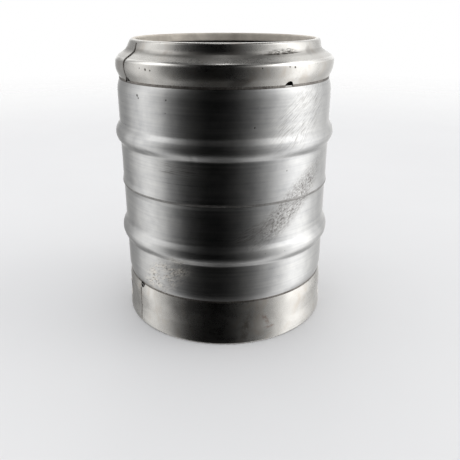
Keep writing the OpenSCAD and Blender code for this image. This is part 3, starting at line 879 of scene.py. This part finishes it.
chime_dents = [
    (bearing(-78), 55, 14, 12, 1.4, 0), (bearing(-68), 58, 12, 14, 0.8, 0),
    (bearing(-58), 72, 8, 9, 0.5, 0), (bearing(40), 5, 30, 6, 0.4, 0),
    (bearing(118), 30, 30, 16, 1.3, 0), (bearing(175), 62, 24, 12, 0.8, 0),
]
head_chime = turned(
    "head_chime_sheet", sheet_outline(head_chime_path, -CHIME_T), CHIME_COLUMNS,
    shape=dented(chime_dents, 5, UNEVEN_CHIME),
)
grip, grip_out = rounded_box(HANDHOLD_W, HANDHOLD_H, HANDHOLD_CORNER)
grip_bars = [
    radial_bar([(u, HANDHOLD_Z + v) for u, v in grip], az, BAR_FROM, BAR_TO) for az in (0, 180)
]
cut(head_chime, notch_bars(2, HEAD_NOTCH_AZ, HEAD_NOTCH_Z, HEAD_NOTCH_R) + grip_bars)
piece(head_chime, "chime_steel", "keg", "head_chime")


def outer_radius(path, z):
    """Outer radius of a profile at a height."""
    pts = sorted((p[1], p[0]) for p in path)
    return float(np.interp(z, [p[0] for p in pts], [p[1] for p in pts]))


skirt = [p for p in head_chime_path if p[0] > 194 and p[1] > 4]


def grip_lip(name, az):
    """The edge of a handhold, rolled inwards: a loop around the opening."""
    section = [(2.2, -0.02), (0.9, -0.12), (0.2, -0.6), (-0.2, -1.5), (-0.3, -3.0)]
    section += [(-0.3, -HANDHOLD_LIP), (0.2, -HANDHOLD_LIP - 1.4), (1.3, -HANDHOLD_LIP - 1.9)]
    section += [(2.0, -HANDHOLD_LIP - 1.2), (2.2, -HANDHOLD_LIP + 0.6), (2.4, -2.4)]
    verts, faces = [], []
    c, s = math.cos(math.radians(az)), math.sin(math.radians(az))
    for (u, v), (nu, nv) in zip(grip, grip_out):
        for out, depth in section:
            uu, vv = u + nu * out, HANDHOLD_Z + v + nv * out
            face_r = outer_radius(skirt, vv)
            away = math.sqrt(face_r**2 - uu**2) + depth
            x, y = away * c - uu * s, away * s + uu * c
            verts.append((x * MM, y * MM, vv * MM))
    n, m = len(grip), len(section)
    for i in range(n):
        for j in range(m):
            k, q = (i + 1) % n, (j + 1) % m
            faces.append([i * m + j, i * m + q, k * m + q, k * m + j])
    return add_mesh(name, verts, faces)


for lip_name, lip_az in (("handhold_edge_right", 0), ("handhold_edge_left", 180)):
    piece(grip_lip(lip_name, lip_az), "chime_steel", "keg")

head_groove = HEAD_WALL_R - HEAD_WELD_INSET
head_bead = turned("head_chime_bead", rounded([
    (head_groove - 1.6, HEAD_WELD_Z - 2.2, 0), (head_groove + 0.8, HEAD_WELD_Z - 1.8, 0.4),
    (head_groove + 0.9, HEAD_WELD_Z + 1.6, 0.5), (head_groove + 0.2, HEAD_WELD_Z + 2.4, 0),
], 4), BEAD_COLUMNS, shape=rippled(BEAD_RIPPLES, 0.15))
cut(head_bead, notch_bars(2, HEAD_NOTCH_AZ, HEAD_NOTCH_Z, HEAD_NOTCH_R))
piece(head_bead, "weld_bead", "keg", "head_chime_weld")
piece(
    seam("head_chime_joint", head_chime_path, -1, 5, HEAD_WELD_Z - 12, 196.0, HEAD_SEAM_AZ),
    "weld_bead", "keg", "head_chime_seam",
)

# ---- neck and spear ----

neck_bead_z = head_path[-1][1]
neck_bead = turned("neck_bead", rounded([
    (NECK_R - 0.4, neck_bead_z - 4, 0), (NECK_R + 0.3, neck_bead_z - 4, 0.3),
    (NECK_R + 1.4, neck_bead_z - 1.6, 1.5), (NECK_R + 4, neck_bead_z + 0.2, 0.3),
    (NECK_R + 3.6, neck_bead_z + 0.4, 0), (NECK_R - 0.4, neck_bead_z + 0.4, 0),
], 4), 480, shape=rippled(96, 0.15))
piece(neck_bead, "weld_bead", "keg", "neck_weld")

# each spring keeps this share of its room's length (37.7 and 13.75 mm) at full travel
gas_spring = spring("gas_spring_wire", 54.35, 91.95, 14.4, 2.2, 7)
piece(gas_spring, "spring_steel", "keg", "gas_spring")
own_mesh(gas_spring)
ball_spring = spring("ball_spring_wire", 59.25, 72.95, 5.2, 0.9, 6)
piece(ball_spring, "spring_steel", "gas_valve", "ball_spring")
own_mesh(ball_spring)

# pieces shown as the design has them, with their looks
CAD_LOOKS = {
    "valve_neck": "neck_steel", "spear_housing": "spear_steel", "neck_seal": "seal_rubber",
    "retaining_ring": "spring_steel", "spring_retainer": "spear_steel", "gas_seal": "seal_rubber",
    "stem_head": "spear_steel", "siphon_tube": "spear_steel", "spring_seat": "spear_steel",
    "beer_ball": "ball_steel",
}
for node, slot in CAD_LOOKS.items():
    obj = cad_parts[node]
    obj.data.materials.clear()
    obj.data.materials.append(LOOKS[slot])

# ---- floor, light and camera ----

def add_floor():
    """A round pale floor that fades out before its edge shows."""
    rings = [0, 0.3, 0.6, 1.0, 1.6, 2.4, 3.4, 4.5]
    count = 96
    verts, faces = [(0, 0, 0)], []
    for r in rings[1:]:
        for j in range(count):
            a = 2 * math.pi * j / count
            verts.append((r * math.cos(a), r * math.sin(a), 0))
    for j in range(count):
        k = (j + 1) % count
        faces.append([0, 1 + j, 1 + k])
        for i in range(len(rings) - 2):
            low, high = 1 + i * count, 1 + (i + 1) * count
            faces.append([low + j, high + j, high + k, low + k])
    floor = add_mesh("studio_floor", verts, faces)
    k = Look("studio_floor_paper")
    cloud = k.noise(k.place, 3.0, 3.0, 0.5)
    colour = k.mix(cloud, (0.775, 0.775, 0.78), (0.805, 0.805, 0.81))
    k.finish(colour, k.plus(k.times(cloud, 0.1), 0.75), metallic=0.0)
    k.shader.inputs["Specular IOR Level"].default_value = 0.0
    fade = k.span(k.axis_distance(), 4.4, 1.6, smooth_step=True)
    k.tree.links.new(fade, k.shader.inputs["Alpha"])
    floor.data.materials.append(k.material)
    floor.visible_glossy = False


def add_world():
    """A white studio: soft light from both sides, overhead and behind, and a dark room in front."""
    world = bpy.data.worlds.new("studio")
    bpy.context.scene.world = world
    world.use_nodes = True
    tree = world.node_tree
    tree.nodes.clear()

    def node(kind, inputs=None, **settings):
        return add_node(tree, kind, inputs, **settings)

    def calc(operation, a, b=0.0):
        return node("ShaderNodeMath", {0: a, 1: b}, operation=operation).outputs[0]

    def ramp(value, circle, stops):
        """A level by direction. Stops are (degrees, level), where circle degrees span 0 to 1."""
        made = node("ShaderNodeValToRGB", {0: value})
        made.color_ramp.interpolation = "EASE"
        items = made.color_ramp.elements
        while len(items) < len(stops):
            items.new(0.5)
        for item, (degrees, _) in zip(items, stops):
            item.position = 0.5 + degrees / circle
        for item, (_, level) in zip(items, stops):
            item.color = (level, level, level, 1.0)
        return made.outputs[0]

    def background(colour):
        return node("ShaderNodeBackground", {"Color": colour, "Strength": 1.0}).outputs[0]

    def choose(share, first, second):
        return node("ShaderNodeMixShader", {0: share, 1: first, 2: second}).outputs[0]

    direction = node("ShaderNodeTexCoord").outputs["Generated"]
    x, y, z = node("ShaderNodeSeparateXYZ", {0: direction}).outputs
    turn = calc("ARCTAN2", x, calc("MULTIPLY", y, -1.0))
    around = calc("ADD", calc("MULTIPLY", turn, 0.5 / math.pi), 0.5)
    rise = calc("ADD", calc("MULTIPLY", calc("ARCSINE", z), 1 / math.pi), 0.5)

    # levels around the keg, from 0 at the front to 180 at the back, as shares of the brightest
    peak = 2.4
    side_strength = 1.7
    above_strength = 2.0
    sides = ramp(around, 360, [(degrees, level / peak) for degrees, level in (
        (-180, 1.80), (-166, 1.10), (-148, 0.42), (-126, 0.42), (-108, 1.00), (-92, 1.42),
        (-76, 0.98), (-60, 0.24), (-42, 0.030), (-22, 0.0), (-2, 0.0), (12, 0.015),
        (30, 0.120), (46, 0.44), (64, 1.20), (80, 2.10), (96, 2.05), (114, 1.15),
        (136, 0.75), (164, 1.10), (180, 1.80),
    )])
    by_height = ramp(rise, 180, [
        (-90, 0.20), (-50, 0.35), (-28, 0.50), (-8, 0.57),
        (24, 0.60), (36, 0.80), (46, 0.85), (60, 0.07),
    ])
    below = ramp(rise, 180, [(-90, 0.14), (-62, 0.10), (-44, 0.0)])
    above = ramp(rise, 180, [(50, 0.0), (76, 0.01), (84, 0.18), (90, 1.20)])
    left_back = ramp(around, 360, [(-176, 0.0), (-158, 0.55), (-142, 0.55), (-124, 0.0)])
    left_back_high = ramp(rise, 180, [(12, 0.0), (26, 1.0), (50, 1.0), (62, 0.0)])
    room = calc("MULTIPLY", calc("MULTIPLY", sides, by_height), peak * side_strength)
    room = calc("ADD", room, calc("ADD", below, calc("MULTIPLY", above, above_strength)))
    room = calc("ADD", room, calc("MULTIPLY", left_back, left_back_high))
    tint = node("ShaderNodeMix", data_type="RGBA", blend_type="MULTIPLY")
    tint.inputs[0].default_value = 1.0
    tree.links.new(room, tint.inputs[6])
    tint.inputs[7].default_value = (1.0, 0.995, 0.98, 1.0)

    reflected = background(tint.outputs[2])
    wash = background((0.98, 0.985, 1.0, 1.0))
    paper = background((1.0, 1.0, 1.0, 1.0))
    path = node("ShaderNodeLightPath").outputs
    lit = choose(path["Is Diffuse Ray"], reflected, wash)
    seen = choose(path["Is Camera Ray"], lit, paper)
    node("ShaderNodeOutputWorld", {"Surface": seen})


def add_camera():
    """At chest height in front of the keg, looking down on it."""
    data = bpy.data.cameras.new("camera")
    data.sensor_width = 36.0
    data.lens = 43.3
    camera = bpy.data.objects.new("camera", data)
    camera.location = (0.0, -1.0747, 0.5863)
    camera.rotation_euler = (math.radians(90 - 22.13), 0.0, math.radians(-0.575))
    bpy.context.scene.collection.objects.link(camera)
    bpy.context.scene.camera = camera


add_floor()
add_world()
add_camera()
bpy.context.scene.view_settings.view_transform = "Standard"
